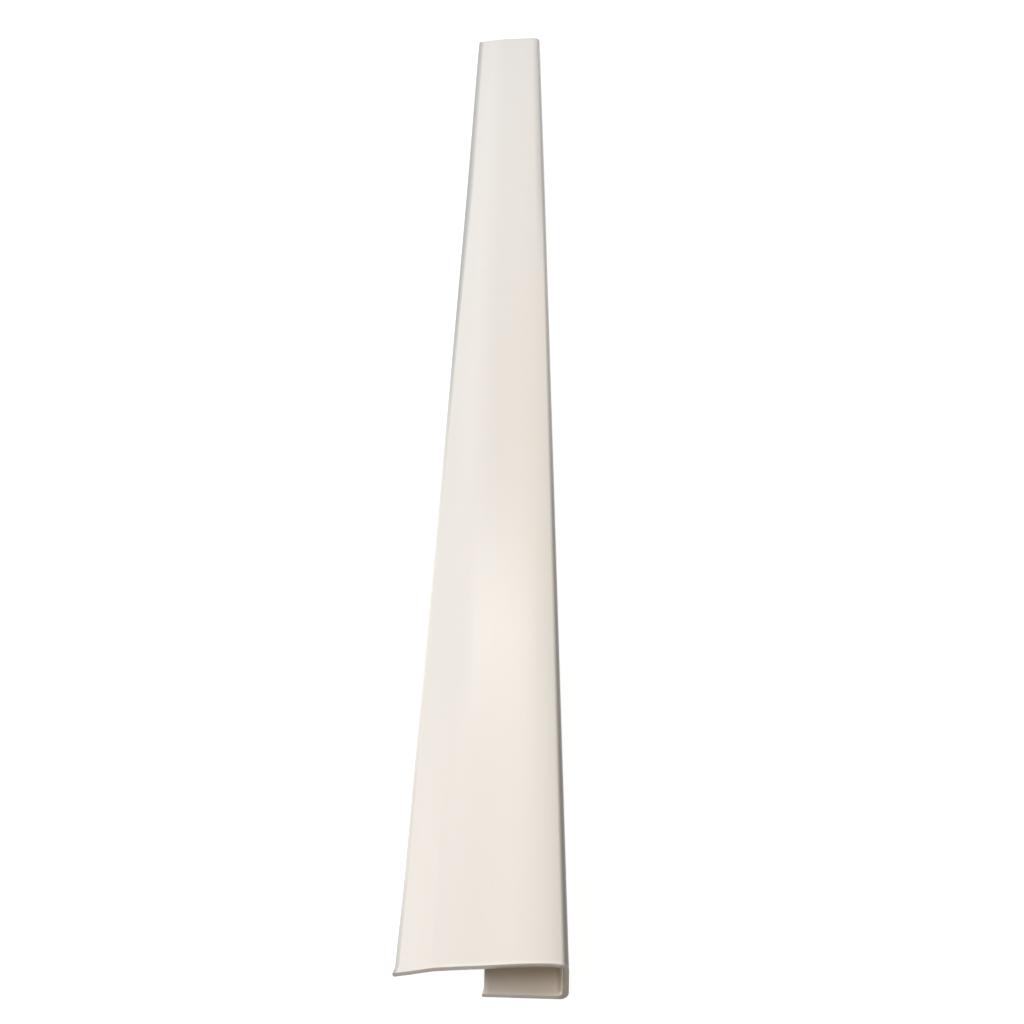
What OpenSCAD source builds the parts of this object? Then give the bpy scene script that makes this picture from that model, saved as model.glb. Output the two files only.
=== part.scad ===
// Plastic edge trim: a J-section strip that caps and frames the edge of a 10 mm wall or facade panel.
// One extrusion: a long leg that covers the panel's face, a web across its edge and a short leg behind.
//
// The strip lies as it rests on a floor, on its short leg, with its length along Y.
// The web is on the +X side, the channel opens to -X and the long leg is on top.
// The origin is on the floor, at the middle of the strip's width and length.

/* [Length] */
// Length of the strip as sold
trim_l = 1000; // [200:50:3000]

/* [Legs] */
// Width of the long leg from the web's outer face to its tip
long_leg_w = 48; // [40:1:58]
// Width of the short leg from the web's outer face to its tip
short_leg_w = 24; // [14:1:36]
// Clear height of the channel beside the web, with play there for a panel 10 mm thick
channel_h = 10.8; // [8:0.1:16]

/* [Walls] */
// Thickness of both legs
leg_wall = 1.5; // [1.2:0.1:1.8]
// Thickness of the web
web_wall = 2; // [1.4:0.1:2.4]

/* [Spring] */
// Angle by which the legs close on each other toward the channel's mouth
toe_in = 4; // [1:0.5:6]
// Width of the long leg's flat part, from the web's outer face
flat_w = 26; // [21:1:34]
// Radius of the long leg's bow beyond the flat part, on its upper face
bow_r = 100; // [80:5:250]

/* [Edges] */
// Radius of the two outer corners
corner_r = 2.5; // [2:0.1:3]
// Radius of the two inner corners of the channel
fillet_r = 1; // [0.4:0.1:1.2]
// Radius of the rounded nose on each leg's tip
nose_r = 1; // [0.9:0.1:1.4]

/* [Hidden] */

// Section frame: the centre of the lower outer corner, with X across the legs and Y up.
// The web and the long leg stand in the same frame turned by toe_in about that centre.
web_rise = channel_h + 2 * leg_wall - 2 * corner_r;
web_inner = corner_r - web_wall;
short_inner = leg_wall - corner_r;
long_outer = web_rise + corner_r;
long_inner = long_outer - leg_wall;
flat_end = corner_r - flat_w;

// The bow turns the long leg down until its tip is long_leg_w away from the web
bow_turn = asin((long_leg_w - flat_w) / bow_r);
nose_turn = bow_turn - nose_r / bow_r * 180 / PI;
bow_mid = bow_r - leg_wall / 2;

// Overlap of the low corner's round and its fillet over the web's faces, so that no step is left beside them
hair = 0.0001;

// Centre of the channel's lower fillet, tangent to the short leg and to the leaning web
fillet_y = short_inner + fillet_r;
fillet_x = (web_inner + hair - fillet_r - fillet_y * sin(toe_in)) / cos(toe_in);
fillet_rise = fillet_y * cos(toe_in) - fillet_x * sin(toe_in);

// Leftmost point of the long leg's nose, and from it the middle of the overall width
nose_x = flat_end - bow_mid * sin(nose_turn);
nose_y = long_outer - bow_r + bow_mid * cos(nose_turn);
tip_x = nose_x * cos(toe_in) - nose_y * sin(toe_in) - nose_r;
middle_x = (corner_r + tip_x) / 2;

// Circles are drawn with this many sides
$fn = 96;

// A rectangle between two opposite corners
module slab(x0, y0, x1, y1) {
    polygon([[x0, y0], [x1, y0], [x1, y1], [x0, y1]]);
}

// Solid block round the web, before the channel is taken out of it
module heel_block() {
    reach = web_wall + fillet_r;
    circle(corner_r);
    slab(-reach, -corner_r, 0, 0);
    rotate(toe_in) {
        slab(-reach, 0, corner_r - hair, web_rise);
        slab(-reach, web_rise, 0, long_outer);
        translate([0, web_rise]) circle(corner_r);
    }
}

// The channel beside the web, with its two filleted corners
module channel_heel() {
    reach = 2 * (corner_r + web_wall);
    translate([fillet_x, fillet_y]) {
        circle(fillet_r);
        slab(-reach, -fillet_r, 0, fillet_r);
    }
    rotate(toe_in) {
        slab(-reach, fillet_rise, web_inner, long_inner - fillet_r);
        slab(-reach, fillet_rise, web_inner - fillet_r, long_inner);
        translate([web_inner - fillet_r, long_inner - fillet_r]) circle(fillet_r);
    }
}

// Short leg: a flat strip with a rounded nose, lying on the floor
module short_leg() {
    tip = corner_r - short_leg_w;
    slab(tip + nose_r, -corner_r, 0, short_inner);
    intersection() {
        slab(tip, -corner_r, tip + nose_r, short_inner);
        translate([tip + nose_r, leg_wall / 2 - corner_r]) circle(nose_r);
    }
}

// Long leg: a flat strip that bows down to a rounded nose
module long_leg() {
    slab(flat_end, long_inner, 0, long_outer);
    translate([flat_end, long_outer - bow_r]) intersection() {
        difference() {
            circle(bow_r);
            circle(bow_r - leg_wall);
        }
        union() {
            polygon([[0, 0], [0, 2 * bow_r], [-2 * bow_r * tan(nose_turn), 2 * bow_r]]);
            rotate(nose_turn) translate([0, bow_mid]) circle(nose_r);
        }
    }
}

// The whole section, with the short leg's outer face on the floor line
module j_section() {
    translate([-middle_x, corner_r]) {
        difference() {
            heel_block();
            channel_heel();
        }
        short_leg();
        rotate(toe_in) long_leg();
    }
}

module j_trim() {
    color("ivory")
        rotate([90, 0, 0])
            linear_extrude(trim_l, center = true) j_section();
}

j_trim();
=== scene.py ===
"""Plastic edge trim, lying on a pale studio floor: its shape, its plastic, the lamps and the camera."""
import math

import bmesh
import bpy
from mathutils import Matrix, Vector, noise


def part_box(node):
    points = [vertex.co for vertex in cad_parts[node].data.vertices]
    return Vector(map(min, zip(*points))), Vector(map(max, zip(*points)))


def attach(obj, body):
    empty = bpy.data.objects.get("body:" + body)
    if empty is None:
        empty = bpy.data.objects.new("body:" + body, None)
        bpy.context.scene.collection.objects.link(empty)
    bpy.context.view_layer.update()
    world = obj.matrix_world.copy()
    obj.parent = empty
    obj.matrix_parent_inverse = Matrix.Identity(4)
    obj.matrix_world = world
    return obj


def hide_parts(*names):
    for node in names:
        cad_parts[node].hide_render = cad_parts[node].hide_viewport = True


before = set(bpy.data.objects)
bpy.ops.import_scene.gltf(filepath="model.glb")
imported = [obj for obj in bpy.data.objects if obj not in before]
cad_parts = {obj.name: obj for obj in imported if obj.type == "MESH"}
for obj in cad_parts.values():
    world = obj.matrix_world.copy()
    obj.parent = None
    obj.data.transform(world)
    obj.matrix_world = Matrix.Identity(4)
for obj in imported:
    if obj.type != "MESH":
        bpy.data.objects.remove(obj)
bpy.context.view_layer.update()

MM = 0.001
PI = math.pi

# Strip, in metres, as in the CAD source
low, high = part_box("j_trim")
trim_l = high.y - low.y
long_leg_w = 48 * MM
short_leg_w = 24 * MM
channel_h = 10.8 * MM
leg_wall = 1.5 * MM
web_wall = 2 * MM
toe_in = math.radians(4)
flat_w = 26 * MM
bow_r = 100 * MM
corner_r = 2.5 * MM
fillet_r = 1 * MM
nose_r = 1 * MM

# Small departures of the real strip from its drawn section, as distances from the web's outer face
crown_start = 3 * MM       # beside the web the long leg runs almost level, then it falls away
crown_peak = 9.6 * MM
crown_end = 27.8 * MM
crown_h = 0.22 * MM
near_crown_h = 0.28 * MM   # how much higher it is at the near end, and how much farther from the web
near_peak_out = 2 * MM
near_crown_l = 220 * MM
bend_at = 37.8 * MM        # at the near end, a soft bend in the bow with a flatter lip beyond it
bend_half = 8 * MM
bend_h = 0.2 * MM
near_lip = 43.8 * MM
near_lip_h = 0.12 * MM
bend_l = 200 * MM          # the bend fades out along this length
long_lip = 38 * MM         # farther on, only a wider and flatter lip
long_lip_h = 0.5 * MM

# Small departures along the strip's length
far_sweep = 0.3 * MM       # the far end bends a little to the side
far_sweep_l = 400 * MM
web_out = 0.3 * MM         # the web stands a little more upright, so its upper corner lies farther out
near_drop = 0.4 * MM       # toward both ends the corner over the web is rounder and lower
near_drop_l = 250 * MM
far_drop = 1 * MM
far_drop_l = 500 * MM
drop_end = 6.7 * MM        # how far from the web's side this reaches
near_flare = 0.42 * MM     # how far the long leg's edge stands out at the near end
near_flare_l = 45 * MM
near_bulge = 0.38 * MM     # and over a longer stretch behind it
near_bulge_start = 170 * MM
near_bulge_l = 150 * MM
far_flare = 0.5 * MM       # and toward the far end
far_flare_l = 450 * MM
wave_h = 0.05 * MM         # slow unevenness of the long leg's height, greatest at its tip
wave_rate = 7              # the noise's steps in a metre
wave_row = (0.3, 1.7)      # the row of the noise that it is read from

# The sawn ends
long_burr = 0.6 * MM       # plastic that the saw pushed out of both tips at the near end
short_burr = 0.5 * MM
burr_l = 3 * MM
burr_from = 0.9            # where on the leg it starts, as a share of the way from the web to the tip
curl = 0.07 * MM           # the long leg's sawn edge lifts a little over the channel
curl_l = 1.5 * MM
curl_in = 0.08             # in shares of the same way, it comes in over this much,
curl_to = 0.55             # has gone at this place,
curl_fade = 0.15           # and fades over this much before it
cut_round = 0.15 * MM      # rounding of the sawn edges
most_inset = 0.4           # the rounding's limit at the thin tips, as a share of the wall there

# How finely the mesh is divided: steps across the section, then rings along the strip
nose_steps = 6
short_leg_steps = 14
low_corner_steps = 10
web_steps = 6
top_corner_steps = 12
long_leg_steps = 26        # for the flat part, and as many for the bow
cut_round_steps = 3
end_rings_mm = (0.4, 0.8, 1.2, 1.6, 2, 2.5, 3, 3.5, 4.5, 6, 8, 11, 15, 20, 26, 33)
middle_rings = 110
cut_slot = 1               # the sawn ends take the second material

# Studio: the floor and the room are seen as almost white, so that the strip's shadow shows
white = 0.95
floor_half = 15
floor_gap = 0.02 * MM      # the floor lies this far under the strip, so that no two faces share a place
floor_tone = (0.28, 0.25, 0.21, 1)
room_tone = (1.0, 0.98, 0.96, 1)
room_light = 0.02

# Camera: in front of the near end and above it, looking along the strip and down
camera_place = (-0.001844, -0.831427, 0.353662)
camera_pitch = math.radians(30.405)
camera_yaw = math.radians(0.7879)
camera_roll = math.radians(2.307)
camera_lens = 57.855
sensor_w = 36


def smooth(t):
    """A soft step from 0 to 1 as t goes from 0 to 1."""
    t = min(max(t, 0), 1)
    return t * t * (3 - 2 * t)


def fade(distance, length):
    """1 where the distance is 0, falling softly to 0 at the given length and beyond it."""
    return 1 - smooth(distance / length)


def arc(centre, radius, start, end, steps):
    """Points on an arc about centre, from one angle to another, both ends included."""
    points = []
    for i in range(steps + 1):
        angle = start + (end - start) * i / steps
        points.append((centre[0] + radius * math.cos(angle), centre[1] + radius * math.sin(angle)))
    return points


def run(start, end, steps):
    """Points that divide a straight run, both ends left out."""
    points = []
    for i in range(1, steps):
        t = i / steps
        points.append((start[0] + (end[0] - start[0]) * t, start[1] + (end[1] - start[1]) * t))
    return points


def lift(from_web, from_near):
    """How much higher than drawn the long leg is, by distance from the web's side and from the near end."""
    near_crown = fade(from_near, near_crown_l)
    crown = crown_h + near_crown_h * near_crown
    peak = crown_peak + near_peak_out * near_crown
    if from_web < peak:
        climb = max(from_web - crown_start, 0) / (peak - crown_start)
        crown *= 1 - (1 - climb) ** 2
    else:
        crown *= fade(from_web - peak, crown_end - peak)
    bend = bend_h * max(1 - abs(from_web - bend_at) / bend_half, 0) ** 2
    bend += near_lip_h * (max(from_web - near_lip, 0) / (long_leg_w - near_lip)) ** 2
    lip = long_lip_h * (max(from_web - long_lip, 0) / (long_leg_w - long_lip)) ** 1.5
    near_share = fade(from_near, bend_l)
    return crown + bend * near_share + lip * (1 - near_share)


def section():
    """The wall's outer and inner face, rows of (x, z, part) from the short leg's tip to the long one's."""
    web_rise = channel_h + 2 * leg_wall - 2 * corner_r
    web_inner = corner_r - web_wall
    short_inner = leg_wall - corner_r
    long_outer = web_rise + corner_r
    long_inner = long_outer - leg_wall
    flat_end = corner_r - flat_w
    inner_bow_r = bow_r - leg_wall
    bow_mid = bow_r - leg_wall / 2
    nose_turn = math.asin((long_leg_w - flat_w) / bow_r) - nose_r / bow_r

    fillet_y = short_inner + fillet_r
    fillet_x = (web_inner - fillet_r - fillet_y * math.sin(toe_in)) / math.cos(toe_in)
    fillet_rise = fillet_y * math.cos(toe_in) - fillet_x * math.sin(toe_in)

    nose = (flat_end - bow_mid * math.sin(nose_turn), long_outer - bow_r + bow_mid * math.cos(nose_turn))
    tip_x = nose[0] * math.cos(toe_in) - nose[1] * math.sin(toe_in) - nose_r
    middle_x = (corner_r + tip_x) / 2

    def upright(points, part):
        return [(x - middle_x, y + corner_r, part) for x, y in points]

    def leaning(points, part):
        placed = []
        for x, y in points:
            turned_x = x * math.cos(toe_in) - y * math.sin(toe_in)
            turned_y = x * math.sin(toe_in) + y * math.cos(toe_in)
            placed.append((turned_x - middle_x, turned_y + corner_r, part))
        return placed

    def bow_end(radius):
        """Angle at which the bow's face of that radius meets the nose."""
        cosine = (radius ** 2 + bow_mid ** 2 - nose_r ** 2) / (2 * radius * bow_mid)
        return PI / 2 + nose_turn + math.acos(cosine)

    # Each pair of lines from here on adds as many points to both faces, so that they match point for point
    half_gap = math.acos(leg_wall / 2 / nose_r)
    short_nose = (corner_r - short_leg_w + nose_r, leg_wall / 2 - corner_r)
    outer = upright(arc(short_nose, nose_r, PI, 3 * PI / 2 - half_gap, nose_steps), "short")
    inner = upright(arc(short_nose, nose_r, PI, PI / 2 + half_gap, nose_steps), "short")

    short_start = short_nose[0] - nose_r * math.sin(half_gap)
    outer += upright(run((short_start, -corner_r), (0, -corner_r), short_leg_steps), "short")
    inner += upright(run((short_start, short_inner), (fillet_x, short_inner), short_leg_steps), "short")
    outer += upright(arc((0, 0), corner_r, -PI / 2, toe_in, low_corner_steps), "web")
    inner += upright(arc((fillet_x, fillet_y), fillet_r, -PI / 2, toe_in, low_corner_steps), "web")

    top_fillet = (web_inner - fillet_r, long_inner - fillet_r)
    outer += leaning(run((corner_r, 0), (corner_r, web_rise), web_steps), "web")
    inner += leaning(run((web_inner, fillet_rise), (web_inner, top_fillet[1]), web_steps), "web")
    outer += leaning(arc((0, web_rise), corner_r, 0, PI / 2, top_corner_steps), "web")
    inner += leaning(arc(top_fillet, fillet_r, 0, PI / 2, top_corner_steps), "web")

    bow_centre = (flat_end, long_outer - bow_r)
    outer += leaning(run((0, long_outer), (flat_end, long_outer), long_leg_steps), "long")
    inner += leaning(run((top_fillet[0], long_inner), (flat_end, long_inner), long_leg_steps), "long")
    outer += leaning(arc(bow_centre, bow_r, PI / 2, bow_end(bow_r), long_leg_steps), "long")
    inner += leaning(arc(bow_centre, inner_bow_r, PI / 2, bow_end(inner_bow_r), long_leg_steps), "long")

    def nose_start(radius):
        """Angle about the nose's centre at which the bow's face of that radius meets it."""
        x = bow_centre[0] + radius * math.cos(bow_end(radius)) - nose[0]
        y = bow_centre[1] + radius * math.sin(bow_end(radius)) - nose[1]
        return math.atan2(y, x) % (2 * PI)

    outer += leaning(arc(nose, nose_r, nose_start(bow_r), PI + nose_turn, nose_steps)[1:], "long")
    inner += leaning(arc(nose, nose_r, nose_start(inner_bow_r), PI + nose_turn, nose_steps)[1:], "long")
    return outer, inner


def stations():
    """Places along the strip, closest together at the cuts, each with how far its edges are drawn in."""
    start = []
    for i in range(cut_round_steps + 1):
        angle = PI / 2 * i / cut_round_steps
        depth = cut_round * (1 - math.cos(angle))
        inset = cut_round * (1 - math.sin(angle))
        start.append((-trim_l / 2 + depth, inset))
    start += [(-trim_l / 2 + step * MM, 0) for step in end_rings_mm]
    finish = [(-y, inset) for y, inset in reversed(start)]
    first, last = start[-1][0], finish[0][0]
    middle = [(first + (last - first) * i / middle_rings, 0) for i in range(1, middle_rings)]
    return start + middle + finish


def leg_share(x, part):
    """How far along its leg a point is: 0 beside the web and 1 at the tip."""
    if part == "web":
        return 0
    leg_w = long_leg_w if part == "long" else short_leg_w
    return min(max((high.x - corner_r - x) / (leg_w - corner_r), 0), 1)


def moved(x, y, z, part):
    """A point of the drawn section at y, moved to where the real strip has it."""
    share = leg_share(x, part)
    from_near = y + trim_l / 2
    from_far = trim_l / 2 - y
    if part == "long":
        reach = near_flare * fade(from_near, near_flare_l)
        reach += near_bulge * fade(from_near - near_bulge_start, near_bulge_l)
        reach += far_flare * fade(from_far, far_flare_l)
        x -= reach * share
        z += lift(corner_r + (long_leg_w - corner_r) * share, from_near)
        z += wave_h * share * noise.noise(Vector((wave_row[0], y * wave_rate, wave_row[1])))
    if part in ("long", "web"):
        height_share = smooth(z / high.z)
        drop = far_drop * fade(from_far, far_drop_l)
        drop += near_drop * fade(from_near, near_drop_l)
        from_web = max(high.x - x, 0)
        z -= drop * height_share * max(1 - from_web / drop_end, 0) ** 2
        x += web_out * height_share * (1 - share)
    if part in ("long", "short"):
        burr = long_burr if part == "long" else short_burr
        x -= burr * fade(from_near, burr_l) * smooth((share - burr_from) / (1 - burr_from))
    if part == "long":
        lifted = max(1 - from_near / curl_l, 0) ** 2
        z += curl * lifted * smooth((curl_to - share) / curl_fade) * smooth(share / curl_in)
    x -= far_sweep * fade(from_far, far_sweep_l)
    return x, y, z


def ring_at(outer, inner, y, inset):
    """One ring of the strip at y, drawn in by inset toward the middle of the wall, and how far each of its
    points lies from the long leg's tip."""
    pairs = list(zip(outer, inner))
    ring = pairs + [(own, other) for other, own in reversed(pairs[1:-1])]
    points = []
    from_tip = []
    for own, other in ring:
        toward = Vector((other[0] - own[0], other[1] - own[1]))
        if toward.length > 0:
            toward = toward.normalized() * min(inset, toward.length * most_inset)
        x, z, part = own
        points.append(moved(x + toward.x, y, z + toward.y, part))
        from_tip.append((1 - leg_share(x, part)) * long_leg_w if part == "long" else long_leg_w)
    return points, from_tip


def build_strip():
    """The whole strip as one closed mesh: a ring at each station, joined, and a cap of quads on each end."""
    outer, inner = section()
    count = len(outer)
    mesh = bmesh.new()
    from_tip = mesh.verts.layers.float.new("from_tip")
    wall_depth = mesh.verts.layers.float.new("wall_depth")
    rings = []
    for y, inset in stations():
        ring = []
        for i, (point, distance) in enumerate(zip(*ring_at(outer, inner, y, inset))):
            vert = mesh.verts.new(point)
            vert[from_tip] = distance
            vert[wall_depth] = 0 if i < count else 1
            ring.append(vert)
        rings.append(ring)
    across = len(rings[0])
    for a, b in zip(rings, rings[1:]):
        for i in range(across):
            j = (i + 1) % across
            face = mesh.faces.new((a[i], a[j], b[j], b[i]))
            face.smooth = True
    for ring, is_near in ((rings[0], True), (rings[-1], False)):
        for i in range(count - 1):
            # At each tip two of these are the same point, which is taken once
            four = [ring[i], ring[i + 1], ring[-(i + 1) % across], ring[-i % across]]
            corners = list(dict.fromkeys(four))
            face = mesh.faces.new(corners if is_near else corners[::-1])
            face.material_index = cut_slot
            for edge in face.edges:
                beside = [f.material_index for f in edge.link_faces]
                if len(beside) == 2 and beside != [cut_slot, cut_slot]:
                    edge.smooth = False
    bmesh.ops.recalc_face_normals(mesh, faces=mesh.faces)
    data = bpy.data.meshes.new("trim_strip")
    mesh.to_mesh(data)
    mesh.free()
    piece = bpy.data.objects.new("trim_strip", data)
    bpy.context.scene.collection.objects.link(piece)
    return piece


class Nodes:
    """A node tree, with short ways to add and join nodes."""

    def __init__(self, owner):
        owner.use_nodes = True
        self.tree = owner.node_tree
        self.tree.nodes.clear()

    def add(self, kind, inputs=None, **settings):
        node = self.tree.nodes.new(kind)
        for name, value in settings.items():
            setattr(node, name, value)
        for name, value in (inputs or {}).items():
            socket = node.inputs[name]
            if isinstance(value, bpy.types.NodeSocket):
                self.tree.links.new(value, socket)
            else:
                socket.default_value = value
        return node

    def math(self, operation, a, b):
        return self.add("ShaderNodeMath", {0: a, 1: b}, operation=operation).outputs[0]

    def product(self, value, *others):
        for other in others:
            value = self.math("MULTIPLY", value, other)
        return value

    def stored(self, name):
        """A value that the mesh keeps at each point."""
        return self.add("ShaderNodeAttribute", attribute_name=name).outputs["Fac"]

    def noise(self, place, rates, detail, roughness=0.5):
        """Noise with this many spots in a metre along X, Y and Z."""
        spot = self.add("ShaderNodeMapping", {"Vector": place, "Scale": rates}).outputs["Vector"]
        inputs = {"Vector": spot, "Scale": 1.0, "Detail": detail, "Roughness": roughness}
        return self.add("ShaderNodeTexNoise", inputs).outputs["Fac"]

    def ramp(self, value, stretch, levels, soft=False):
        """The first level up to the stretch's start, the second from its end on, and a way between them."""
        inputs = {"Value": value}
        inputs["From Min"], inputs["From Max"] = stretch
        inputs["To Min"], inputs["To Max"] = levels
        way = "SMOOTHSTEP" if soft else "LINEAR"
        return self.add("ShaderNodeMapRange", inputs, interpolation_type=way).outputs["Result"]

    def blend(self, factor, a, b):
        """Colour a where the factor is 0, and b where it is 1."""
        colour_a, colour_b, colour_out = 6, 7, 2
        node = self.add("ShaderNodeMix", {0: factor, colour_a: a, colour_b: b}, data_type="RGBA")
        return node.outputs[colour_out]

    def plastic(self, tone, rough, coarse, fine, strength, depth):
        """The surface itself, with a relief that is mostly the coarse one of two patterns."""
        relief = self.math("ADD", self.math("MULTIPLY", coarse, 0.7), self.math("MULTIPLY", fine, 0.3))
        bump = self.add("ShaderNodeBump", {"Strength": strength, "Distance": depth, "Height": relief})
        inputs = {"Base Color": tone, "Roughness": rough, "Normal": bump.outputs[0], "IOR": 1.5}
        shader = self.add("ShaderNodeBsdfPrincipled", inputs)
        self.add("ShaderNodeOutputMaterial", {"Surface": shader.outputs[0]})


def linear(red, green, blue):
    """A colour written as a screen shows it, 0 to 255, as the linear values that a shader takes."""
    values = []
    for v in (red, green, blue):
        v = v / 255
        values.append(v / 12.92 if v <= 0.04045 else ((v + 0.055) / 1.055) ** 2.4)
    return (*values, 1)


def outer_shade(n, from_near, from_tip):
    """How much greyer the long leg's outer band is painted, as painted shade beside the highlight on the
    middle of the leg.
    """
    across = n.ramp(from_tip, (3 * MM, 10 * MM), (1, 0))
    along = n.ramp(from_near, (80 * MM, 300 * MM), (0, 0.35))
    return n.product(across, along)


def edge_shade(n, from_near, from_tip):
    """How thick the painted shade on the long leg's thin edge is, a grey line where the edge turns away from
    the light: thick at the near cut, then fainter, and thicker and wider again toward the far end."""
    width = n.ramp(from_near, (150 * MM, 450 * MM), (0.9 * MM, 2 * MM))
    width = n.math("ADD", width, n.ramp(from_near, (450 * MM, 650 * MM), (0, 1.6 * MM)))
    cover = n.math("SUBTRACT", 1.0, n.math("DIVIDE", from_tip, width))
    cover = n.math("POWER", n.math("MAXIMUM", cover, 0.0), 0.7)
    at_cut = n.ramp(from_near, (1 * MM, 3 * MM), (1, 0))
    near_side = n.ramp(from_near, (0, 40 * MM), (0.85, 0.4))
    near_side = n.product(near_side, n.ramp(from_near, (80 * MM, 140 * MM), (1, 0.1)))
    far_side = n.ramp(from_near, (200 * MM, 480 * MM), (0, 1), soft=True)
    strength = n.math("MAXIMUM", n.math("MAXIMUM", near_side, at_cut), far_side)
    return n.product(cover, strength)


def corner_shade(n, from_near, from_web, height):
    """How brown the corner over the web is painted, as shade on its round: a thin line on the near side and
    a wider band far on.
    """
    near_line = n.ramp(from_web, (0.8 * MM, 1.8 * MM), (1, 0))
    near_line = n.product(near_line, n.ramp(from_near, (260 * MM, 340 * MM), (0.8, 0)))
    far_band = n.ramp(from_web, (1.8 * MM, 6.5 * MM), (1, 0))
    far_band = n.product(far_band, n.ramp(from_near, (500 * MM, 650 * MM), (0, 0.45)))
    at_top = n.ramp(height, (0.7 * high.z, 0.8 * high.z), (0, 1))
    return n.product(n.math("MAXIMUM", near_line, far_band), at_top)


def inner_shade(n, from_near, from_web, wall_depth):
    """How much the web's inner face is darkened by painted shade inside the channel, most of all just inside
    the near cut.
    """
    inside = n.ramp(wall_depth, (0.3, 0.9), (0, 0.85))
    on_web = n.ramp(from_web, (2.4 * MM, 3.4 * MM), (1, 0))
    along = n.ramp(from_near, (4 * MM, 12 * MM), (1, 0.35))
    return n.product(inside, on_web, along)


def rim_highlight(n, from_near, from_tip):
    """How much whiter the rim of the near cut is painted, as a highlight where the edge catches the light,
    apart from the long leg's tip.
    """
    along = n.ramp(from_near, (0.6 * MM, 1.6 * MM), (0.6, 0))
    across = n.ramp(from_tip, (4 * MM, 16 * MM), (0, 1))
    return n.product(along, across)


def pvc_material():
    """Satin off-white plastic with faint drawing lines along the strip and a slow drift of tone, with
    painted light colour, painted shade on its edges and corner, and a painted highlight at the near cut.
    """
    material = bpy.data.materials.new("trim_pvc")
    n = Nodes(material)
    place = n.add("ShaderNodeTexCoord").outputs["Object"]
    apart = n.add("ShaderNodeSeparateXYZ", {"Vector": place}).outputs
    from_near = n.math("SUBTRACT", apart["Y"], low.y)
    from_web = n.math("SUBTRACT", high.x, apart["X"])
    from_tip = n.stored("from_tip")
    wall_depth = n.stored("wall_depth")
    drift = n.noise(place, (30, 5, 30), 2.0)
    mottle = n.noise(place, (90, 45, 90), 4.0, 0.6)
    streak = n.noise(place, (1500, 4, 1500), 3.0, 0.6)
    grain = n.noise(place, (2600, 1900, 2600), 2.0)

    # Painted light colour: warmer toward the web, away from the cool light on the left, and less so toward
    # the far end, where the light is cooler; the slow drift over it is the plastic's own tone
    warmth = n.ramp(apart["X"], (low.x, high.x), (0, 1))
    warmth = n.math("ADD", warmth, n.ramp(drift, (0.3, 0.7), (-0.25, 0.25)))
    warmth = n.math("SUBTRACT", warmth, n.ramp(from_near, (300 * MM, 800 * MM), (0, 0.4)))
    tone = n.blend(n.ramp(warmth, (0, 1), (0, 1)), linear(237, 231, 224), linear(240, 231, 219))
    tone = n.blend(n.ramp(mottle, (0.3, 0.7), (0, 0.25)), tone, linear(242, 233, 225))
    tone = n.blend(n.ramp(streak, (0.35, 0.7), (0, 0.1)), tone, linear(228, 219, 207))

    # Painted shade: the long leg's outer band greyer, beside the highlight
    tone = n.blend(outer_shade(n, from_near, from_tip), tone, linear(222, 221, 214))
    # Painted shade: a grey line along the long leg's thin edge
    tone = n.blend(edge_shade(n, from_near, from_tip), tone, linear(152, 151, 149))
    # Painted shade along the round corner over the web
    tone = n.blend(corner_shade(n, from_near, from_web, apart["Z"]), tone, linear(150, 138, 128))
    # Painted shade on the web's inner face, inside the channel
    tone = n.blend(inner_shade(n, from_near, from_web, wall_depth), tone, linear(176, 165, 150))
    # Painted highlight along the rim of the near cut
    tone = n.blend(rim_highlight(n, from_near, from_tip), tone, linear(252, 246, 238))

    rough = n.ramp(streak, (0.3, 0.7), (0.21, 0.24))
    rough = n.math("ADD", rough, n.ramp(mottle, (0.3, 0.7), (-0.01, 0.015)))
    n.plastic(tone, rough, streak, grain, 0.05, 0.05 * MM)
    return material


def cut_material():
    """The sawn ends: the same plastic, duller, with the fine marks of the saw."""
    material = bpy.data.materials.new("trim_sawn_end")
    n = Nodes(material)
    place = n.add("ShaderNodeTexCoord").outputs["Object"]
    apart = n.add("ShaderNodeSeparateXYZ", {"Vector": place}).outputs
    saw_lean = (0, math.radians(35), 0)
    turned = n.add("ShaderNodeMapping", {"Vector": place, "Rotation": saw_lean}).outputs["Vector"]
    marks = n.noise(turned, (300, 300, 9000), 2.0, 0.6)
    specks = n.noise(place, (1800, 1800, 1800), 3.0, 0.6)
    tone = n.blend(n.ramp(marks, (0.35, 0.65), (0, 1)), linear(240, 238, 235), linear(248, 246, 243))
    tone = n.blend(n.ramp(specks, (0.55, 0.75), (0, 0.4)), tone, linear(208, 202, 194))

    # The web's cut is darker
    on_web = n.ramp(apart["X"], (high.x - 2 * web_wall, high.x - web_wall), (0, 0.7))
    tone = n.blend(on_web, tone, linear(196, 188, 178))

    # Over the channel the long leg's cut is browner toward its inner edge: painted shade beside the
    # channel's dark inside
    over_channel = n.ramp(apart["X"], (high.x - short_leg_w, high.x - 0.8 * short_leg_w), (0, 1))
    on_long_leg = n.ramp(apart["Z"], (0.4 * high.z, 0.6 * high.z), (0, 1))
    inward = n.ramp(n.stored("wall_depth"), (0.2, 0.9), (0, 0.8))
    tone = n.blend(n.product(over_channel, on_long_leg, inward), tone, linear(178, 166, 146))

    rough = n.ramp(marks, (0.3, 0.7), (0.62, 0.78))
    n.plastic(tone, rough, marks, specks, 0.5, 0.1 * MM)
    return material


def seen_directly(n):
    """1 for rays that show the background: straight from the camera, or by reflection or glass."""
    path = n.add("ShaderNodeLightPath").outputs
    seen = n.math("MAXIMUM", path["Is Camera Ray"], path["Is Glossy Ray"])
    return n.math("MAXIMUM", seen, path["Is Transmission Ray"])


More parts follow.
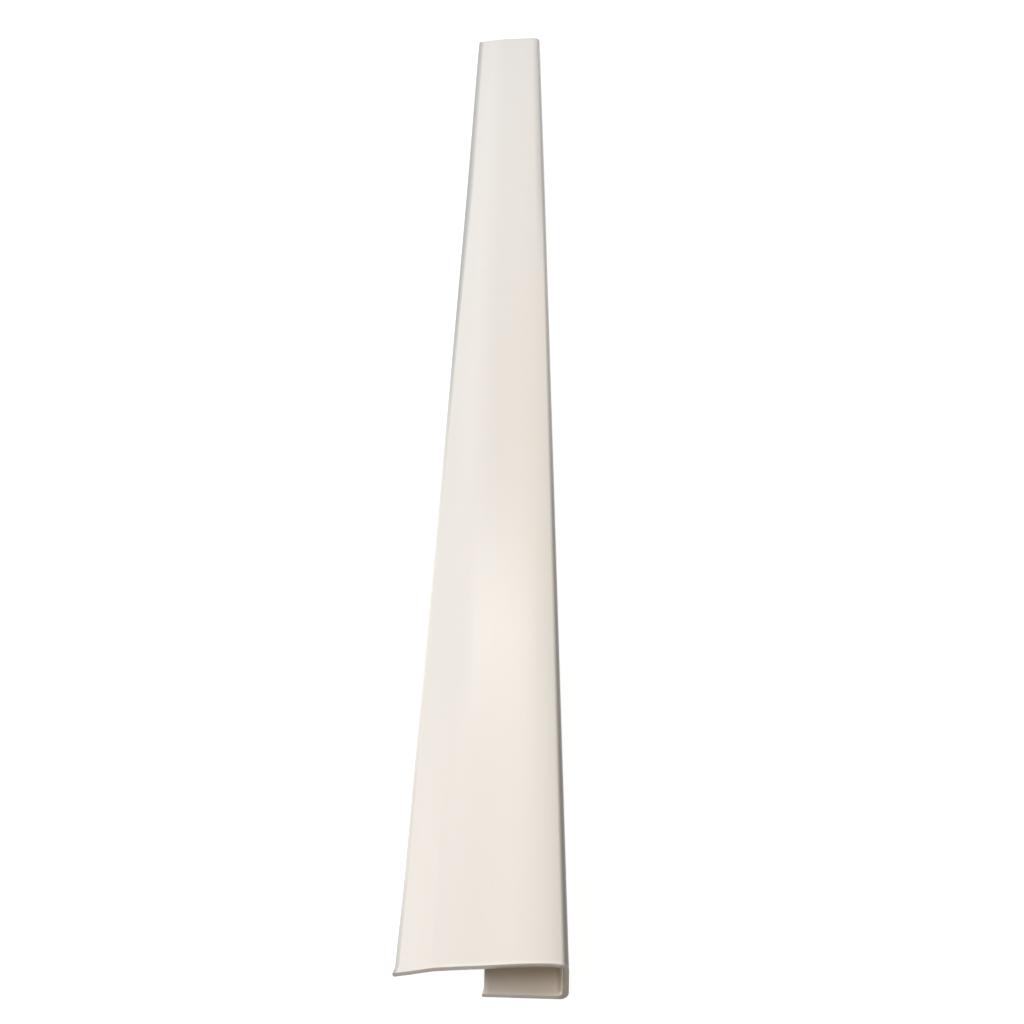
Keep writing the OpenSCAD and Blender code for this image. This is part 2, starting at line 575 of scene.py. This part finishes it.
def build_floor():
    """A wide pale floor that the camera sees as white, with the strip's soft shadow kept."""
    data = bpy.data.meshes.new("studio_floor")
    corners = [(x * floor_half, y * floor_half, 0) for x, y in ((-1, -1), (1, -1), (1, 1), (-1, 1))]
    data.from_pydata(corners, [], [(0, 1, 2, 3)])
    floor = bpy.data.objects.new("studio_floor", data)
    bpy.context.scene.collection.objects.link(floor)
    floor.location.z = -floor_gap
    material = bpy.data.materials.new("studio_floor")
    n = Nodes(material)
    lit = n.add("ShaderNodeBsdfDiffuse", {"Color": floor_tone}).outputs[0]
    brightness = n.math("MULTIPLY", seen_directly(n), white)
    glow = n.add("ShaderNodeEmission", {"Color": (1, 1, 1, 1), "Strength": brightness}).outputs[0]
    both = n.add("ShaderNodeAddShader", {0: lit, 1: glow}).outputs[0]
    n.add("ShaderNodeOutputMaterial", {"Surface": both})
    data.materials.append(material)


def build_world():
    """A dim even room for the light, and plain white where it is seen."""
    world = bpy.data.worlds.new("studio_room")
    bpy.context.scene.world = world
    n = Nodes(world)
    room = n.add("ShaderNodeBackground", {"Color": room_tone, "Strength": room_light}).outputs[0]
    backdrop = n.add("ShaderNodeBackground", {"Color": (1, 1, 1, 1), "Strength": white}).outputs[0]
    either = n.add("ShaderNodeMixShader", {0: seen_directly(n), 1: room, 2: backdrop}).outputs[0]
    n.add("ShaderNodeOutputWorld", {"Surface": either})


def add_lamp(name, place, aim, size, level, colour):
    """A square soft lamp that gives a surface facing it at aim this level of light, 1 being full white."""
    data = bpy.data.lights.new(name, "AREA")
    data.shape = "SQUARE"
    data.size = size
    data.color = colour
    to_aim = Vector(aim) - Vector(place)
    data.energy = level * PI * PI * to_aim.length_squared
    lamp = bpy.data.objects.new(name, data)
    bpy.context.scene.collection.objects.link(lamp)
    lamp.location = place
    lamp.rotation_mode = "QUATERNION"
    lamp.rotation_quaternion = to_aim.to_track_quat("-Z", "Y")


def build_lamps():
    """Most light comes from the left, less from above, the front and the right, and a little from behind."""
    add_lamp("key_lamp", (-1.5, -0.9, 0.8), (0, -0.35, 0), 0.7, 0.6, (0.98, 1.0, 1.0))
    add_lamp("side_lamp", (-1.2, 0, 0.9), (0, 0, 0), 0.7, 0.68, (0.98, 0.99, 1.0))
    add_lamp("top_lamp", (0, 0.75, 1.2), (0, 0.5, 0), 0.8, 0.23, (0.93, 0.96, 1.0))
    add_lamp("right_lamp", (0.6, 0.6, 0.9), (0, 0.3, 0), 0.6, 0.13, (1.0, 0.99, 0.98))
    add_lamp("back_lamp", (-0.15, 0.9, 0.84), (0, -0.33, 0), 0.12, 0.0123, (1.0, 1.0, 1.0))
    add_lamp("front_lamp", (-0.2, -1.5, 1.0), (0, -0.4, 0), 0.7, 0.155, (1.0, 0.86, 0.71))


def build_camera():
    """The camera, turned by its yaw, then its pitch, then its roll."""
    ahead = Vector((
        math.sin(camera_yaw) * math.cos(camera_pitch),
        math.cos(camera_yaw) * math.cos(camera_pitch),
        -math.sin(camera_pitch),
    ))
    level = Vector((math.cos(camera_yaw), -math.sin(camera_yaw), 0))
    upward = level.cross(ahead)
    right = math.cos(camera_roll) * level + math.sin(camera_roll) * upward
    up = -math.sin(camera_roll) * level + math.cos(camera_roll) * upward
    data = bpy.data.cameras.new("photo_camera")
    data.sensor_width = sensor_w
    data.lens = camera_lens
    data.clip_start = 0.01
    data.clip_end = 100
    camera = bpy.data.objects.new("photo_camera", data)
    bpy.context.scene.collection.objects.link(camera)
    turn = Matrix((right, up, -ahead)).transposed().to_4x4()
    camera.matrix_world = Matrix.Translation(camera_place) @ turn
    bpy.context.scene.camera = camera


strip = build_strip()
strip.data.materials.append(pvc_material())
strip.data.materials.append(cut_material())
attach(strip, "root")
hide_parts("j_trim")

build_floor()
build_world()
build_lamps()
build_camera()
bpy.context.scene.view_settings.view_transform = "Standard"
